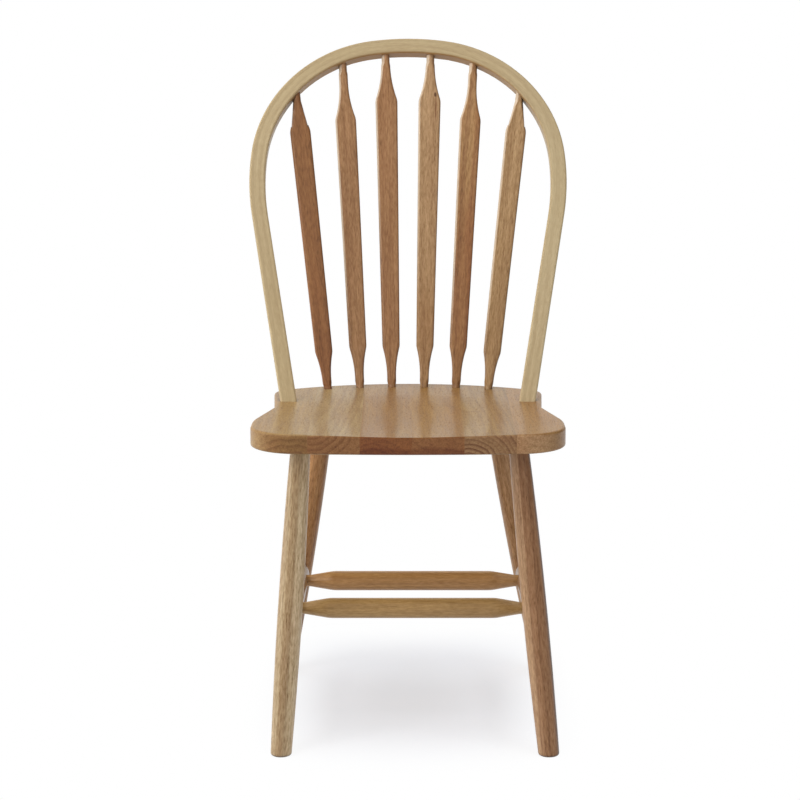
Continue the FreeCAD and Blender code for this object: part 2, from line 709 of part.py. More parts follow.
# The dish is a hollow that runs out in a reverse curve just above the seat's top.
dish = new_sketch(seat_blank, "dish", "YZ_Plane",
                  across="Sizes.dish_from_front", along="Sizes.seat_thickness")
bend = "(Sizes.dish_depth + Sizes.dish_lip) / 8"
trace(dish, [("0", "-Sizes.dish_depth", ("Sizes.dish_sweep_radius / 4", f"-Sizes.dish_depth + {bend}")),
             ("Sizes.dish_sweep_radius / 2", "(Sizes.dish_lip - Sizes.dish_depth) / 2",
              ("Sizes.dish_sweep_radius * 3 / 4", f"Sizes.dish_lip - {bend}")),
             ("Sizes.dish_sweep_radius", "Sizes.dish_lip"),
             ("Sizes.dish_sweep_radius", "Sizes.dish_depth"),
             ("0", "Sizes.dish_depth")])
turn(seat_blank, "Groove", dish)
bind(seat_blank, Placement="placement(vector(0; Layout.front_y; Layout.seat_underside); rotation(0; 0; 0))")
doc.recompute()
seat_board = drilled("seat_board", seat_blank, seat_holes)

# Staves: the outer two reach past the seat's sides, the seams between are square and straight
stave_count = int(value("Sizes.stave_count"))
for number in range(1, stave_count + 1):
    left = f"Sizes.stave_shift + ({number - 1} - Sizes.stave_count / 2) * Sizes.stave_width"
    right = f"Sizes.stave_shift + ({number} - Sizes.stave_count / 2) * Sizes.stave_width"
    if number == 1:
        left = "-Sizes.seat_width"
    if number == stave_count:
        right = "Sizes.seat_width"
    strip = doc.addObject("Part::Box", f"stave_{number}_strip")
    bind(strip,
         Length=f"({right}) - ({left})",
         Width="Sizes.seat_depth + 2 * Sizes.seat_thickness",
         Height="3 * Sizes.seat_thickness",
         Placement=f"placement(vector({left}; Layout.front_y - Sizes.seat_thickness;"
                   " Layout.seat_underside - Sizes.seat_thickness); rotation(0; 0; 0))")
    stave = doc.addObject("Part::Common", f"seat_stave_{number}")
    stave.Label = stave.Name
    stave.Base = seat_board
    stave.Tool = strip
    doc.recompute()
    subparts.append(stave)

failed = [item.Name for item in doc.Objects
          if any(state in ("Invalid", "Error") for state in item.State)]
if failed:
    raise RuntimeError(f"not built: {failed}")
for piece in subparts:
    if piece.Shape.isNull() or not piece.Shape.isValid() or len(piece.Shape.Solids) != 1:
        raise RuntimeError(f"{piece.Label} isn't one valid solid")

os.makedirs("parts", exist_ok=True)
for piece in subparts:
    piece.Shape.exportStep(f"parts/{piece.Label}.step")
    size = piece.Shape.optimalBoundingBox()
    print(f"{piece.Label}: {size.XLength:.1f} x {size.YLength:.1f} x {size.ZLength:.1f} mm,"
          f" {piece.Shape.Volume / 1000:.1f} cm3")
whole = Part.makeCompound([piece.Shape for piece in subparts]).optimalBoundingBox()
print(f"whole chair: x {whole.XMin:.2f} to {whole.XMax:.2f}, y {whole.YMin:.2f} to"
      f" {whole.YMax:.2f}, z {whole.ZMin:.2f} to {whole.ZMax:.2f} mm")
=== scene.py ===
import math
import bpy
from mathutils import Matrix, Vector


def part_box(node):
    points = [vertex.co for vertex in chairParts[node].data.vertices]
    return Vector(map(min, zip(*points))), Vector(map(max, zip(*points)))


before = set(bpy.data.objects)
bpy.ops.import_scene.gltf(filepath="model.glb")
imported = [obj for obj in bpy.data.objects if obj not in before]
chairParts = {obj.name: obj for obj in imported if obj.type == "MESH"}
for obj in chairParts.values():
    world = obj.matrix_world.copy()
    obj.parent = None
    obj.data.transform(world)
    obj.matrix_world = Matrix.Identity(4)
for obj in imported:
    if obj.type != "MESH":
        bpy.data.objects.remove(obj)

scene = bpy.context.scene
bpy.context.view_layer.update()  # refreshes the scene after the parts were moved into the chair's own coordinates
print("chair loaded:", len(chairParts), "parts")


# Shader building, used by every wood and by the floor

def paint(red, green, blue):
    # screen colours 0-255 to the linear ones that shaders take
    def linear(v):
        v /= 255
        return v / 12.92 if v <= 0.04045 else ((v + 0.055) / 1.055) ** 2.4
    return (linear(red), linear(green), linear(blue), 1.0)


def addNode(tree, kind, feeds=None, **settings):
    # a feed is either an output to link or a plain value
    node = tree.nodes.new(kind)
    for name, setting in settings.items():
        setattr(node, name, setting)
    for name, feed in (feeds or {}).items():
        if isinstance(feed, bpy.types.NodeSocket):
            tree.links.new(feed, node.inputs[name])
        else:
            node.inputs[name].default_value = feed
    return node


def calc(tree, operation, *feeds):
    return addNode(tree, "ShaderNodeMath", dict(enumerate(feeds)), operation=operation).outputs[0]


def vecCalc(tree, operation, *feeds, result="Vector"):
    node = addNode(tree, "ShaderNodeVectorMath", dict(enumerate(feeds)), operation=operation)
    return node.outputs[result]


def splitUp(tree, feed):
    return addNode(tree, "ShaderNodeSeparateXYZ", {0: feed}).outputs


def joinColour(tree, red, green, blue):
    return addNode(tree, "ShaderNodeCombineColor", {0: red, 1: green, 2: blue}).outputs[0]


def blendColour(tree, amount, first, second, mode="MIX"):
    node = addNode(tree, "ShaderNodeMix", {0: amount, 6: first, 7: second}, data_type="RGBA", blend_type=mode)
    return node.outputs[2]


def blendNumber(tree, amount, first, second):
    return addNode(tree, "ShaderNodeMix", {0: amount, 2: first, 3: second}, data_type="FLOAT").outputs[0]


def fade(tree, feed, low, high, start=0.0, end=1.0):
    # a soft step from start to end while the feed goes from low to high
    node = addNode(tree, "ShaderNodeMapRange",
                   {"Value": feed, "From Min": low, "From Max": high, "To Min": start, "To Max": end},
                   interpolation_type="SMOOTHSTEP")
    return node.outputs["Result"]


def noise(tree, place, stretch, detail=2.0, rough=0.5, result="Fac"):
    # stretch holds the number of features in a metre along x, y and z
    spread = vecCalc(tree, "MULTIPLY", place, stretch)
    node = addNode(tree, "ShaderNodeTexNoise",
                   {"Vector": spread, "Scale": 1.0, "Detail": detail, "Roughness": rough})
    return node.outputs[result]


# Wood: growth rings round a heart, fine fibres, open pores and slow colour drift.
# The grain place is in metres with z along the fibres, so the rings close up into
# arches on a flat-sawn face and into arcs on an end.

# each noise: features in a metre along x, y and z, then its detail and its roughness
woodNoises = {
    "wander": ((9, 9, 2.2), 2, 0.5),
    "ringShift": ((30, 30, 3), 1, 0.5),
    "ringTone": ((3.7, 1, 1), 0, 0.5),  # counted in rings, not in metres
    "streak": ((140, 140, 3.5), 2, 0.6),
    "fibre": ((400, 400, 18), 3, 0.6),
    "mottle": ((480, 480, 95), 2, 0.6),
    "pores": ((900, 900, 60), 1, 0.5),
    "flecks": ((560, 560, 110), 2, 0.55),
    "drift": ((24, 24, 2.5), 4, 0.65),
}
# each fade: the levels it runs between, then what it gives at either end where that isn't 0 and 1
woodFades = {
    "ringRise": (0.25, 0.86),
    "ringFall": (0.88, 1.0, 1.0, 0.0),
    "ringTone": (0.3, 0.7, 0.35, 1.0),
    "pores": (0.60, 0.70),
    "flecks": (0.54, 0.66),
    "drift": (0.35, 0.7),
    "fibre": (0.25, 0.75, -0.11, 0.1),
    "streak": (0.3, 0.7, -0.1, 0.09),
    "mottle": (0.32, 0.68, -0.15, 0.13),
    "fibreGloss": (0.2, 0.8, 0.34, 0.44),
}
woodShares = {
    "wander": (0.012, 0.012, 0.0), "ringShift": 1.6, "ringsOnFaces": 0.5,
    "fleckShade": 0.22, "poreShade": 0.25, "redPower": 0.8, "bluePower": 1.3,
    "poreDull": 0.2, "endDull": 0.08, "fibreRelief": 0.5, "fleckRelief": 0.4,
}
woodSockets = {
    "NodeSocketVector": ("Grain", "Heart", "Heart tilt"),
    "NodeSocketFloat": ("End", "Ring gap", "Ring depth", "Drift", "Pores", "Figure"),
    "NodeSocketColor": ("Pale", "Deep", "Tinge", "End tint"),
}


def makeWoodGroup():
    tree = bpy.data.node_groups.new("lacqueredHardwood", "ShaderNodeTree")
    for kind, names in woodSockets.items():
        for name in names:
            tree.interface.new_socket(name, in_out="INPUT", socket_type=kind)
    given = tree.nodes.new("NodeGroupInput").outputs
    grain = given["Grain"]
    share = woodShares

    def layer(name, place, result="Fac"):
        return noise(tree, place, *woodNoises[name], result=result)

    def faded(name, feed):
        return fade(tree, feed, *woodFades[name])

    # wander of the fibres
    wander = vecCalc(tree, "SUBTRACT", layer("wander", grain, "Color"), (0.5, 0.5, 0.5))
    place = vecCalc(tree, "ADD", grain, vecCalc(tree, "MULTIPLY", wander, share["wander"]))

    # growth rings, counted outwards from the heart
    tilt = vecCalc(tree, "SCALE", given["Heart tilt"])
    tree.links.new(splitUp(tree, place)[2], tilt.node.inputs["Scale"])
    flat = vecCalc(tree, "MULTIPLY", place, (1, 1, 0))
    fromHeart = vecCalc(tree, "SUBTRACT", vecCalc(tree, "SUBTRACT", flat, given["Heart"]), tilt)
    rings = calc(tree, "DIVIDE", vecCalc(tree, "LENGTH", fromHeart, result="Value"), given["Ring gap"])
    rings = calc(tree, "ADD", rings, calc(tree, "MULTIPLY", layer("ringShift", grain), share["ringShift"]))
    phase = calc(tree, "FRACT", rings)
    late = calc(tree, "MULTIPLY", faded("ringRise", phase), faded("ringFall", phase))
    ringNumber = addNode(tree, "ShaderNodeCombineXYZ", {0: calc(tree, "FLOOR", rings)}).outputs[0]
    late = calc(tree, "MULTIPLY", late, faded("ringTone", layer("ringTone", ringNumber)))
    # the rings stand out most on the end grain
    facing = calc(tree, "MULTIPLY_ADD", given["End"], 1.0 - share["ringsOnFaces"], share["ringsOnFaces"])
    late = calc(tree, "MULTIPLY", late, facing)

    # open pores, and flecks where pores lie in groups
    fibre = layer("fibre", place)
    pores = calc(tree, "MULTIPLY", faded("pores", layer("pores", place)), given["Pores"])
    flecks = calc(tree, "MULTIPLY", faded("flecks", layer("flecks", place)), given["Pores"])

    # slow drift towards the tinge, then the rings
    drift = calc(tree, "MULTIPLY", faded("drift", layer("drift", grain)), given["Drift"])
    colour = blendColour(tree, drift, given["Pale"], given["Tinge"])
    colour = blendColour(tree, calc(tree, "MULTIPLY", late, given["Ring depth"]), colour, given["Deep"])

    # fibres, broad streaks and mottle
    figure = calc(tree, "ADD", faded("fibre", fibre), faded("streak", layer("streak", place)))
    figure = calc(tree, "ADD", figure, faded("mottle", layer("mottle", place)))
    shade = calc(tree, "MULTIPLY_ADD", figure, given["Figure"], 1.0)
    shade = calc(tree, "SUBTRACT", shade, calc(tree, "MULTIPLY", flecks, share["fleckShade"]))
    shade = calc(tree, "SUBTRACT", shade, calc(tree, "MULTIPLY", pores, share["poreShade"]))
    # darker wood is redder too, so blue falls off fastest
    warmth = joinColour(tree, calc(tree, "POWER", shade, share["redPower"]), shade,
                        calc(tree, "POWER", shade, share["bluePower"]))
    colour = blendColour(tree, 1.0, colour, warmth, "MULTIPLY")
    colour = blendColour(tree, given["End"], colour, given["End tint"], "MULTIPLY")

    dull = calc(tree, "ADD", faded("fibreGloss", fibre), calc(tree, "MULTIPLY", pores, share["poreDull"]))
    dull = calc(tree, "ADD", dull, calc(tree, "MULTIPLY", given["End"], share["endDull"]))
    height = calc(tree, "SUBTRACT", calc(tree, "MULTIPLY", fibre, share["fibreRelief"]), pores)
    height = calc(tree, "SUBTRACT", height, calc(tree, "MULTIPLY", flecks, share["fleckRelief"]))
    results = {"Colour": colour, "Roughness": dull, "Height": height}
    for name in results:
        kind = "NodeSocketColor" if name == "Colour" else "NodeSocketFloat"
        tree.interface.new_socket(name, in_out="OUTPUT", socket_type=kind)
    addNode(tree, "NodeGroupOutput", results)
    return tree


woodGroup = makeWoodGroup()


# Grain coordinates of a straight piece, with z along its own axis

def longAxis(name):
    # the two ends of a part's own axis: the middles of its first and last slices
    sliceShare = 0.06
    low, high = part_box(name)
    spans = high - low
    longest = max(range(3), key=lambda i: spans[i])
    spots = [v.co for v in chairParts[name].data.vertices]
    ends = []
    for edge, side in ((low[longest], 1), (high[longest], -1)):
        near = [p for p in spots if (p[longest] - edge) * side < spans[longest] * sliceShare]
        lowest = Vector([min(p[i] for p in near) for i in range(3)])
        highest = Vector([max(p[i] for p in near) for i in range(3)])
        ends.append((lowest + highest) / 2)
    return ends


def straightGrain(start, end, across):
    # turns the chair's own coordinates so that z runs from start to end
    z = (end - start).normalized()
    x = (Vector(across) - z * Vector(across).dot(z)).normalized()
    turn = Matrix((x, z.cross(x), z))
    endTurn = (0.55, 0.92)  # how squarely a face has to look along the grain to be end grain

    def grain(tree):
        place = addNode(tree, "ShaderNodeTexCoord").outputs
        turned = addNode(tree, "ShaderNodeMapping",
                         {"Vector": place["Object"], "Rotation": turn.to_euler(),
                          "Location": -(turn @ ((start + end) / 2))})
        facing = vecCalc(tree, "DOT_PRODUCT", place["Normal"], z, result="Value")
        return turned.outputs[0], fade(tree, calc(tree, "ABSOLUTE", facing), *endTurn)
    return grain


# Finish: lacquer worn thin along the edges, with painted shade in the joints and crevices and painted light and
# shade on the sides

finishAndPaintedLight = {
    "edgeReach": 0.0025, "edgeSamples": 4, "edgeTurn": (0.8, 0.99, 1.0, 0.0),
    "wornPatches": (90, 90, 25), "wornSpread": (0.4, 0.7),
    "jointReach": 0.016, "jointSamples": 6, "jointShade": (0.2, 0.75, 0.36, 1.0),
    "paintedLightTurn": (0.15, 0.6), "paintedShadeEnd": 0.95,
    "relief": 0.35, "reliefDepth": 0.0004, "gloss": 0.25, "coatIndex": 1.45,
}
# what a piece has unless its own dictionary or its kind's says otherwise
plainWood = {
    "drift": 0.6, "figure": 1.0, "wear": 0.35, "coat": 0.45, "coatRough": 0.2, "heartTilt": (0, 0, 0),
    "endTint": (0.5, 0.36, 0.27), "marks": (), "paintedLightRun": (-1.0, -0.9),
}


def wornEdges(tree, colour, place, look):
    sharp = addNode(tree, "ShaderNodeNewGeometry").outputs["Normal"]
    soft = addNode(tree, "ShaderNodeBevel", {"Radius": finishAndPaintedLight["edgeReach"]}, samples=finishAndPaintedLight["edgeSamples"])
    turned = vecCalc(tree, "DOT_PRODUCT", soft.outputs[0], sharp, result="Value")
    patches = fade(tree, noise(tree, place, finishAndPaintedLight["wornPatches"]), *finishAndPaintedLight["wornSpread"])
    worn = calc(tree, "MULTIPLY", fade(tree, turned, *finishAndPaintedLight["edgeTurn"]), patches)
    return blendColour(tree, calc(tree, "MULTIPLY", worn, look["wear"]), colour, paint(*look["pale"]))


def paintedSideLight(tree, colour, place, look):
    # painted light makes the left-facing sides paler over a run along the grain, and painted shade makes the
    # right-facing ones darker, by how each surface turns in the chair's own coordinates
    edges = look["paintedSideShading"]
    sideways = splitUp(tree, addNode(tree, "ShaderNodeTexCoord").outputs["Normal"])[0]
    leftward = calc(tree, "MULTIPLY", sideways, -1.0)
    paintedLight = fade(tree, leftward, *finishAndPaintedLight["paintedLightTurn"], 0.0, edges["paleShare"])
    paintedLight = calc(tree, "MULTIPLY", paintedLight, fade(tree, splitUp(tree, place)[2], *look["paintedLightRun"]))
    paintedShade = fade(tree, sideways, edges["darkFrom"], finishAndPaintedLight["paintedShadeEnd"], 0.0, edges["darkShare"])
    colour = blendColour(tree, paintedLight, colour, paint(*edges["pale"]))
    return blendColour(tree, paintedShade, colour, paint(*edges["dark"]))


def paintedJointShade(tree, colour):
    # painted shade: darker wherever ambient occlusion finds other surfaces close by
    openness = addNode(tree, "ShaderNodeAmbientOcclusion", {"Distance": finishAndPaintedLight["jointReach"]},
                       samples=finishAndPaintedLight["jointSamples"]).outputs["AO"]
    shade = fade(tree, openness, *finishAndPaintedLight["jointShade"])
    return blendColour(tree, 1.0, colour, joinColour(tree, shade, shade, shade), "MULTIPLY")


def woodMaterial(name, look, grain):
    look = {**plainWood, **look}
    material = bpy.data.materials.new(name)
    material.use_nodes = True
    tree = material.node_tree
    tree.nodes.clear()
    place, end = grain(tree)
    tilt = Vector(look["heartTilt"])
    wood = addNode(tree, "ShaderNodeGroup", {
        "Grain": vecCalc(tree, "ADD", place, (0, 0, look["seed"])), "End": end,
        "Heart": Vector(look["heart"]) - tilt * look["seed"], "Heart tilt": tilt,
        "Ring gap": look["ringGap"], "Ring depth": look["ringDepth"],
        "Drift": look["drift"], "Pores": look["pores"], "Figure": look["figure"],
        "Pale": paint(*look["pale"]), "Deep": paint(*look["deep"]), "Tinge": paint(*look["tinge"]),
        "End tint": (*look["endTint"], 1.0)}, node_tree=woodGroup).outputs
    colour = wood["Colour"]
    for mark in look["marks"]:
        colour = mark(tree, colour, place)
    colour = wornEdges(tree, colour, place, look)
    # painted light on left-facing sides and painted shade on right-facing ones
    if "paintedSideShading" in look:
        colour = paintedSideLight(tree, colour, place, look)
    # painted shade in the joints and crevices
    colour = paintedJointShade(tree, colour)
    relief = addNode(tree, "ShaderNodeBump", {"Height": wood["Height"], "Strength": finishAndPaintedLight["relief"],
                                              "Distance": finishAndPaintedLight["reliefDepth"]})
    surface = addNode(tree, "ShaderNodeBsdfPrincipled", {
        "Base Color": colour, "Roughness": wood["Roughness"], "Normal": relief.outputs[0],
        "Specular IOR Level": finishAndPaintedLight["gloss"], "Coat Weight": look["coat"],
        "Coat Roughness": look["coatRough"], "Coat IOR": finishAndPaintedLight["coatIndex"]})
    addNode(tree, "ShaderNodeOutputMaterial", {"Surface": surface.outputs[0]})
    return material


def dress(name, look, grain):
    slots = chairParts[name].data.materials
    slots.clear()
    slots.append(woodMaterial(name, look, grain))


# Marks laid over the wood of single pieces, placed in their grain coordinates

def spotMark(middle, size, tint, strength):
    # a soft-edged patch multiplied into the wood, for a knot or a short streak
    core, rim = 0.45, 1.15

    def mark(tree, colour, place):
        offset = vecCalc(tree, "DIVIDE", vecCalc(tree, "SUBTRACT", place, middle), size)
        inside = fade(tree, vecCalc(tree, "LENGTH", offset, result="Value"), core, rim, strength, 0.0)
        return blendColour(tree, inside, colour, (*tint, 1.0), "MULTIPLY")
    return mark


def sideBand(axis, edge, width, tint, strength, waver=0.004, slope=0.0):
    # the wood on one side of a wavering line along the piece, multiplied by a tint
    waverNoise, waverSpread = ((40, 40, 6), 1), (0.2, 0.8)

    def mark(tree, colour, place):
        spots = splitUp(tree, place)
        spot = calc(tree, "MULTIPLY_ADD", spots[2], -slope, spots[axis])
        drift = fade(tree, noise(tree, place, *waverNoise), *waverSpread, -waver, waver)
        across = fade(tree, calc(tree, "ADD", spot, drift), edge, edge + width)
        return blendColour(tree, calc(tree, "MULTIPLY", across, strength), colour, (*tint, 1.0), "MULTIPLY")
    return mark


# Seat: six staves, the grain running from front to back

# painted shade: the lower part of a stave's thickness darker, where the light from above falls off
paintedShadeBelow = sideBand(axis=1, edge=0.001, width=0.007, tint=(0.66, 0.5, 0.42), strength=0.9, waver=0.002)
seatStaves = {
    "seat_stave_1": {
        "pale": (162, 130, 80), "deep": (128, 89, 51), "tinge": (153, 113, 68), "endTint": (0.73, 0.59, 0.49),
        "heart": (0.02, 0.05, 0), "heartTilt": (0.02, 0.05, 0), "ringDepth": 0.55, "seed": 3.1},
    "seat_stave_2": {
        "pale": (168, 141, 96), "deep": (131, 93, 56), "tinge": (158, 123, 83), "endTint": (0.73, 0.49, 0.37),
        "heart": (-0.023, -0.028, 0), "heartTilt": (0.05, 0.03, 0), "ringDepth": 0.65, "seed": 4.8},
    "seat_stave_3": {
        "pale": (154, 117, 70), "deep": (113, 70, 37), "tinge": (143, 101, 61), "endTint": (0.77, 0.49, 0.36),
        "heart": (-0.02, 0.06, 0), "heartTilt": (0.0, 0.05, 0), "ringDepth": 0.4, "seed": 6.5,
        "marks": (paintedShadeBelow,)},
    "seat_stave_4": {
        "pale": (155, 117, 65), "deep": (120, 75, 36), "tinge": (146, 104, 56), "endTint": (0.84, 0.64, 0.66),
        "heart": (0.03, -0.06, 0), "heartTilt": (0.03, 0.05, 0), "ringDepth": 0.45, "seed": 8.2,
        "marks": (paintedShadeBelow, spotMark(middle=(-0.0393, 0, -0.23), size=(0.0011, 0.04, 0.03),
                                          tint=(1.7, 1.7, 1.6), strength=0.8))},
    "seat_stave_5": {
        "pale": (154, 122, 75), "deep": (112, 74, 40), "tinge": (146, 106, 63), "endTint": (1.00, 0.90, 1.05),
        "heart": (-0.033, 0.038, 0), "heartTilt": (-0.03, 0.02, 0), "ringDepth": 1.0, "ringGap": 0.0058,
        "seed": 9.9,
        "marks": (spotMark(middle=(-0.022, -0.012, -0.008), size=(0.016, 0.01, 0.0035),
                           tint=(0.72, 0.62, 0.52), strength=0.7),)},
    "seat_stave_6": {
        "pale": (157, 118, 70), "deep": (126, 83, 45), "tinge": (149, 104, 59), "endTint": (1.40, 1.52, 2.10),
        "heart": (0.02, -0.07, 0), "heartTilt": (0.02, 0.05, 0), "ringDepth": 0.5, "seed": 11.6},
}
seatShared = {"ringGap": 0.0085, "pores": 0.7, "coat": 0.2, "coatRough": 0.14}

for name, stave in seatStaves.items():
    low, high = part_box(name)
    middle = (low + high) / 2
    start = Vector((middle.x, low.y, middle.z))
    end = Vector((middle.x, high.y, middle.z))
    dress(name, {**seatShared, **stave}, straightGrain(start, end, across=(1, 0, 0)))
print("seat staves finished:", len(seatStaves))


# Bow: one bent strip, paler than the rest, its fibres following the bend

# the arcs of the bow as modelled, in metres, and how far round each one goes, in degrees
bowBend = {
    "foot": (0, -0.00175, 0.450), "recline": 27.54,
    "crown": {"centre": (0, 0.17996), "radius": 0.3822, "until": 8.25},
    "shoulder": {"centre": (0.02655, 0.3631), "radius": 0.1971, "until": 83.5},
    "hip": {"centre": (-0.1285, 0.34544), "radius": 0.3532, "until": 99.25},
    "legFoot": 0.1731, "legLean": 9.25,
}
bowWood = {
    "pale": (189, 168, 128), "deep": (157, 131, 93), "tinge": (180, 157, 119), "seed": 5.3,
    "heart": (0.05, 0.09, 0), "ringGap": 0.005, "ringDepth": 0.7, "pores": 0.25,
    "figure": 0.4, "wear": 0.12, "coat": 0.2,
    # painted shade on the inner face under the crown, darker and warmer around the crown itself, and paler down
    # the right leg
    "marks": (spotMark(middle=(-0.0135, 0, 0), size=(0.0036, 1.0, 0.34), tint=(0.82, 0.58, 0.37), strength=1.0),
              spotMark(middle=(0.002, 0, 0), size=(0.2, 1.0, 0.3), tint=(0.92, 0.9, 0.86), strength=1.0),
              spotMark(middle=(0, 0, 0.66), size=(1.0, 1.0, 0.28), tint=(1.09, 1.11, 1.15), strength=1.0)),
}


def bentGrain(tree):
    turn = Matrix.Rotation(math.radians(bowBend["recline"]), 3, "X")
    upright = addNode(tree, "ShaderNodeMapping", {
        "Vector": addNode(tree, "ShaderNodeTexCoord").outputs["Object"], "Rotation": turn.to_euler(),
        "Location": -(turn @ Vector(bowBend["foot"]))})
    out, depth, up = splitUp(tree, upright.outputs[0])
    side = calc(tree, "SIGN", out)
    out = calc(tree, "ABSOLUTE", out)

    # where each arc begins, as a run from the crown and as an angle
    begins = {}
    run = last = 0.0
    for arc in ("crown", "shoulder", "hip"):
        bend = bowBend[arc]
        begins[arc] = (run, last)
        run += bend["radius"] * math.radians(bend["until"] - last)
        last = bend["until"]

    # the straight leg, then the arcs from the hip up, each over the one before
    legLean = math.radians(bowBend["legLean"])
    outward = calc(tree, "MULTIPLY", calc(tree, "SUBTRACT", out, bowBend["legFoot"]), math.cos(legLean))
    offset = calc(tree, "SUBTRACT", outward, calc(tree, "MULTIPLY", up, math.sin(legLean)))
    hip = bowBend["hip"]
    hipEndUp = hip["centre"][1] + hip["radius"] * math.cos(math.radians(hip["until"]))
    below = calc(tree, "SUBTRACT", hipEndUp, up)
    along = calc(tree, "ADD", calc(tree, "MULTIPLY", below, 1 / math.cos(legLean)), run)
    for arc in ("hip", "shoulder", "crown"):
        bend = bowBend[arc]
        begin, turned = begins[arc]
        x = calc(tree, "SUBTRACT", out, bend["centre"][0])
        z = calc(tree, "SUBTRACT", up, bend["centre"][1])
        angle = calc(tree, "ARCTAN2", x, z)
        reach = calc(tree, "SQRT", calc(tree, "ADD", calc(tree, "MULTIPLY", x, x), calc(tree, "MULTIPLY", z, z)))
        inside = calc(tree, "LESS_THAN", angle, math.radians(bend["until"]))
        arcRun = calc(tree, "MULTIPLY", calc(tree, "SUBTRACT", angle, math.radians(turned)), bend["radius"])
        offset = blendNumber(tree, inside, offset, calc(tree, "SUBTRACT", reach, bend["radius"]))
        along = blendNumber(tree, inside, along, calc(tree, "ADD", arcRun, begin))
    along = calc(tree, "MULTIPLY", along, side)
    noEndGrain = 0.0
    return addNode(tree, "ShaderNodeCombineXYZ", {0: offset, 1: depth, 2: along}).outputs[0], noEndGrain


dress("bow", bowWood, bentGrain)
print("bow finished")


# Slats: each cut from another board, from reddish brown on the left to tan on the right

# the tan boards are paler towards the head
palerHead = sideBand(axis=2, edge=-0.14, width=0.28, tint=(1.07, 1.09, 1.14), strength=1.0)
slatBoards = {
    "arrow_slat_1": {
        "pale": (145, 97, 54), "deep": (116, 69, 35), "tinge": (136, 84, 46), "seed": 20.4,
        "heart": (0.03, 0.05, 0), "heartTilt": (-0.03, 0.01, 0), "paintedLightRun": (0.15, 0.4)},
    "arrow_slat_2": {
        "pale": (165, 123, 82), "deep": (133, 89, 52), "tinge": (156, 108, 68), "seed": 22.7,
        "heart": (-0.03, 0.056, 0), "heartTilt": (-0.018, 0.01, 0), "paintedLightRun": (-0.16, -0.03)},
    "arrow_slat_3": {
        "pale": (162, 118, 76), "deep": (130, 84, 50), "tinge": (152, 103, 64), "seed": 25.0,
        "heart": (0.03, 0.062, 0), "heartTilt": (-0.006, 0.01, 0), "paintedLightRun": (-0.12, 0.12)},
    # with a knot near the head and a dark streak below it, and darker at the foot
    "arrow_slat_4": {
        "pale": (175, 138, 96), "deep": (144, 103, 65), "tinge": (162, 123, 82), "seed": 27.3,
        "heart": (-0.03, 0.068, 0), "heartTilt": (0.006, 0.01, 0), "paintedLightRun": (-0.15, 0.1),
        "marks": (palerHead,
                  spotMark(middle=(0, 0, -0.2), size=(0.03, 0.03, 0.13), tint=(0.89, 0.82, 0.74), strength=0.9),
                  spotMark(middle=(0.0086, -0.005, 0.1957), size=(0.0024, 0.007, 0.0042),
                           tint=(0.3, 0.2, 0.15), strength=1.0),
                  spotMark(middle=(0.0098, -0.005, 0.174), size=(0.0015, 0.007, 0.022),
                           tint=(0.55, 0.4, 0.32), strength=0.9))},
    # in two colours, darker on the right and in the lower half
    "arrow_slat_5": {
        "pale": (166, 125, 78), "deep": (124, 75, 43), "tinge": (148, 100, 62), "seed": 29.6,
        "heart": (0.03, 0.074, 0), "heartTilt": (0.018, 0.01, 0), "paintedLightRun": (-0.2, -0.05),
        "marks": (palerHead,
                  sideBand(axis=0, edge=0.001, width=0.009, tint=(0.82, 0.68, 0.6), strength=0.75),
                  spotMark(middle=(0.004, -0.005, -0.09), size=(0.02, 0.02, 0.17),
                           tint=(0.9, 0.79, 0.74), strength=0.95))},
    "arrow_slat_6": {
        "pale": (173, 137, 94), "deep": (143, 105, 64), "tinge": (163, 126, 82), "seed": 31.9,
        "heart": (-0.03, 0.08, 0), "heartTilt": (0.03, 0.01, 0), "paintedLightRun": (-0.2, -0.05),
        "marks": (palerHead,)},
}
slatShared = {
    "ringGap": 0.006, "ringDepth": 0.7, "pores": 0.8, "figure": 1.2, "coatRough": 0.16,
    # painted light on each slat's left-facing side and painted shade on its right-facing one
    "paintedSideShading": {"pale": (226, 204, 176), "paleShare": 0.8,
                  "dark": (96, 62, 42), "darkShare": 0.65, "darkFrom": 0.45},
}

for name, board in slatBoards.items():
    dress(name, {**slatShared, **board}, straightGrain(*longAxis(name), across=(1, 0, 0)))
print("slats finished:", len(slatBoards))


# Legs: turned from open-pored blanks, each of its own colour

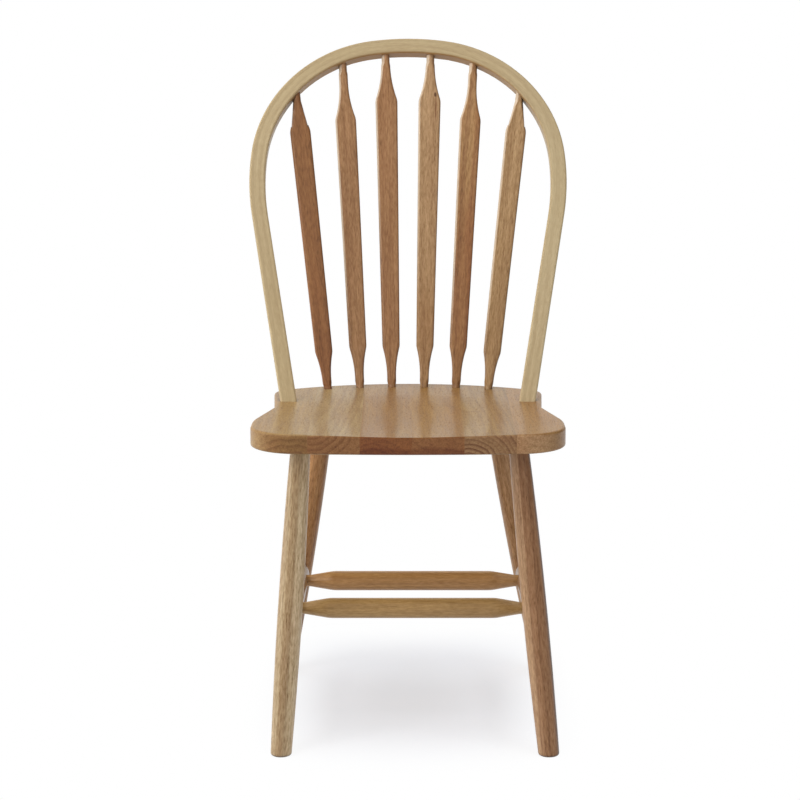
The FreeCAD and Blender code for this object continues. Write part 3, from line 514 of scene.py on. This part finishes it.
legBlanks = {
    # paler on the right, partly its own lighter wood and partly a painted reflection of the bright floor between
    # the legs, with a browner band left of the middle
    "front_left_leg": {
        "pale": (188, 164, 127), "deep": (148, 120, 84), "tinge": (176, 143, 108), "seed": 40.9,
        "heart": (0.05, -0.04, 0), "heartTilt": (0.01, -0.018, 0),
        "marks": (sideBand(axis=0, edge=0.002, width=0.004, tint=(1.3, 1.34, 1.4), strength=1.0, waver=0.001),
                  spotMark(middle=(-0.0025, 0, 0), size=(0.0065, 1.0, 1.0),
                           tint=(0.88, 0.77, 0.67), strength=0.6))},
    # brown but for a slanting pale strip down the left
    "front_right_leg": {
        "pale": (189, 148, 108), "deep": (145, 100, 66), "tinge": (172, 128, 91), "seed": 43.8,
        "heart": (0.03, -0.04, 0), "heartTilt": (0.01, -0.006, 0),
        "marks": (sideBand(axis=0, edge=-0.0078, width=0.002, tint=(0.68, 0.59, 0.52), strength=1.0,
                           waver=0.0008, slope=0.014),),
        # painted shade along its right-facing side and a little painted light on its left-facing one
        "paintedSideShading": {"pale": (178, 153, 126), "paleShare": 0.12,
                      "dark": (58, 36, 24), "darkShare": 0.7, "darkFrom": 0.75}},
    "rear_left_leg": {
        "pale": (182, 133, 83), "deep": (137, 95, 54), "tinge": (168, 119, 70), "seed": 46.7,
        "heart": (0.01, -0.04, 0), "heartTilt": (0.01, 0.006, 0)},
    "rear_right_leg": {
        "pale": (184, 140, 95), "deep": (140, 99, 61), "tinge": (171, 126, 80), "seed": 49.6,
        "heart": (-0.01, -0.04, 0), "heartTilt": (0.01, 0.018, 0)},
}
legShared = {"ringGap": 0.006, "ringDepth": 0.6, "pores": 1.0, "figure": 1.25, "coat": 0.25}

for name, blank in legBlanks.items():
    dress(name, {**legShared, **blank}, straightGrain(*longAxis(name), across=(1, 0, 0)))
print("legs finished:", len(legBlanks))


# Stretchers: turned from wood with fewer pores, the cross ones yellower than the side ones

stretcherBlanks = {
    "front_cross_stretcher": {
        "pale": (188, 150, 94), "deep": (146, 109, 64), "tinge": (175, 136, 84), "seed": 60.2,
        "heartTilt": (0.0, 0.03, 0)},
    "rear_cross_stretcher": {
        "pale": (193, 147, 91), "deep": (150, 102, 57), "tinge": (178, 129, 77), "seed": 62.3,
        "heartTilt": (0.0, 0.015, 0)},
    "left_side_stretcher": {
        "pale": (160, 124, 86), "deep": (126, 88, 56), "tinge": (150, 112, 76), "seed": 64.4,
        "heartTilt": (0.0, 0.0, 0)},
    "right_side_stretcher": {
        "pale": (154, 118, 82), "deep": (120, 84, 54), "tinge": (144, 106, 72), "seed": 66.5,
        "heartTilt": (0.0, -0.015, 0)},
}
stretcherShared = {"heart": (0.02, 0.045, 0), "ringGap": 0.0055, "ringDepth": 0.7, "pores": 0.45, "figure": 0.75}

for name, blank in stretcherBlanks.items():
    dress(name, {**stretcherShared, **blank}, straightGrain(*longAxis(name), across=(0, 0, 1)))
print("stretchers finished:", len(stretcherBlanks))


# Floor and room: pale and plain. Seen directly or in the lacquer the floor is white
# but for the chair's shadow, and the room's right-hand wall is the darker one.

studio = {
    "floorHalf": 9.0, "floorColour": (238, 242, 249), "floorGlow": 0.41,
    "glowColour": (0.985, 0.985, 1.0, 1.0), "white": (1.0, 1.0, 1.0, 1.0),
    "shadowMiddle": (0.01, 0.03, 0.0), "floorReach": (0.25, 0.385, 1.0), "floorFade": (0.4, 1.0),
    "roomLight": 0.36, "roomColour": (1.0, 1.0, 1.0, 1.0),
    "wallSpan": (0.1, 0.8), "wallGloss": (0.95, 0.15), "glossColour": (1.0, 0.965, 0.89, 1.0),
}

half = studio["floorHalf"]
floorMesh = bpy.data.meshes.new("studioFloor")
floorMesh.from_pydata([(-half, -half, 0), (half, -half, 0), (half, half, 0), (-half, half, 0)], [], [(0, 1, 2, 3)])
floor = bpy.data.objects.new("studioFloor", floorMesh)
scene.collection.objects.link(floor)
floorPaint = bpy.data.materials.new("studioFloor")
floorPaint.use_nodes = True
tree = floorPaint.node_tree
tree.nodes.clear()
path = addNode(tree, "ShaderNodeLightPath").outputs
seen = calc(tree, "MAXIMUM", path["Is Glossy Ray"], path["Is Transmission Ray"])
seen = calc(tree, "MAXIMUM", path["Is Camera Ray"], seen)
matt = addNode(tree, "ShaderNodeBsdfDiffuse", {"Color": paint(*studio["floorColour"])})
glow = addNode(tree, "ShaderNodeEmission", {"Color": studio["glowColour"],
                                            "Strength": calc(tree, "MULTIPLY", seen, studio["floorGlow"])})
near = addNode(tree, "ShaderNodeAddShader", {0: matt.outputs[0], 1: glow.outputs[0]})
far = addNode(tree, "ShaderNodeEmission", {"Color": studio["white"], "Strength": 1.0})
# a rounded rectangle round the shadow, by the fourth powers of the distances
spot = addNode(tree, "ShaderNodeTexCoord").outputs["Object"]
reach = vecCalc(tree, "DIVIDE", vecCalc(tree, "SUBTRACT", spot, studio["shadowMiddle"]), studio["floorReach"])
reach = vecCalc(tree, "LENGTH", vecCalc(tree, "MULTIPLY", reach, reach), result="Value")
away = fade(tree, calc(tree, "SQRT", reach), *studio["floorFade"])
both = addNode(tree, "ShaderNodeMixShader",
               {0: calc(tree, "MULTIPLY", away, seen), 1: near.outputs[0], 2: far.outputs[0]})
addNode(tree, "ShaderNodeOutputMaterial", {"Surface": both.outputs[0]})
floorMesh.materials.append(floorPaint)

room = bpy.data.worlds.new("studioRoom")
scene.world = room
room.use_nodes = True
tree = room.node_tree
tree.nodes.clear()
path = addNode(tree, "ShaderNodeLightPath").outputs
sideways = splitUp(tree, addNode(tree, "ShaderNodeTexCoord").outputs["Generated"])[0]
walls = fade(tree, sideways, *studio["wallSpan"], *studio["wallGloss"])
brightness = blendNumber(tree, path["Is Glossy Ray"], studio["roomLight"], walls)
direct = calc(tree, "MAXIMUM", path["Is Camera Ray"], path["Is Transmission Ray"])
air = addNode(tree, "ShaderNodeBackground", {
    "Color": blendColour(tree, path["Is Glossy Ray"], studio["roomColour"], studio["glossColour"]),
    "Strength": calc(tree, "MAXIMUM", brightness, direct)})
addNode(tree, "ShaderNodeOutputWorld", {"Surface": air.outputs[0]})


# Lamps: a broad one from the front left, a weaker one from the front right and one overhead,
# and two fill lamps, left and behind, that leave the floor and the reflections alone

lamps = {
    "frontLeft": {"place": (-2.4, -3.0, 2.3), "size": (2.4, 2.4), "power": 36},
    "frontRight": {"place": (2.6, -2.6, 1.9), "size": (2.2, 2.2), "power": 13},
    "overhead": {"place": (0.0, -0.5, 3.2), "size": (2.6, 2.6), "power": 32},
    "leftSide": {"place": (-2.6, -0.15, 1.2), "size": (1.6, 2.2), "power": 50, "chairOnly": True},
    "behind": {"place": (0.8, 2.9, 1.9), "size": (2.2, 2.2), "power": 26, "chairOnly": True},
}
lookAt = Vector((0, 0, 0.55))
unlitFloor = bpy.data.collections.new("unlitFloor")
unlitFloor.objects.link(floor)
unlitFloor.collection_objects[0].light_linking.link_state = "EXCLUDE"
for name, lamp in lamps.items():
    light = bpy.data.lights.new(name, "AREA")
    light.shape = "RECTANGLE"
    light.size, light.size_y = lamp["size"]
    light.energy = lamp["power"]
    holder = bpy.data.objects.new(name, light)
    if lamp.get("chairOnly"):
        holder.light_linking.receiver_collection = unlitFloor
        holder.visible_glossy = False
    holder.location = lamp["place"]
    holder.rotation_euler = (lookAt - holder.location).to_track_quat("-Z", "Y").to_euler()
    scene.collection.objects.link(holder)
print("floor and lamps ready:", len(lamps), "lamps")


# Camera: straight in front, a little over the seat, looking slightly down

viewFinder = {"place": (0.0, -3.2666, 1.0279), "pitch": 10.03, "lens": 103.05, "sensor": 36.0, "shiftX": -0.01}
cameraData = bpy.data.cameras.new("studioCamera")
cameraData.sensor_width = viewFinder["sensor"]
cameraData.lens = viewFinder["lens"]
cameraData.shift_x = viewFinder["shiftX"]
camera = bpy.data.objects.new("studioCamera", cameraData)
camera.location = viewFinder["place"]
camera.rotation_euler = (math.radians(90 - viewFinder["pitch"]), 0, 0)
scene.collection.objects.link(camera)
scene.camera = camera
scene.view_settings.view_transform = "Standard"

print("camera set")
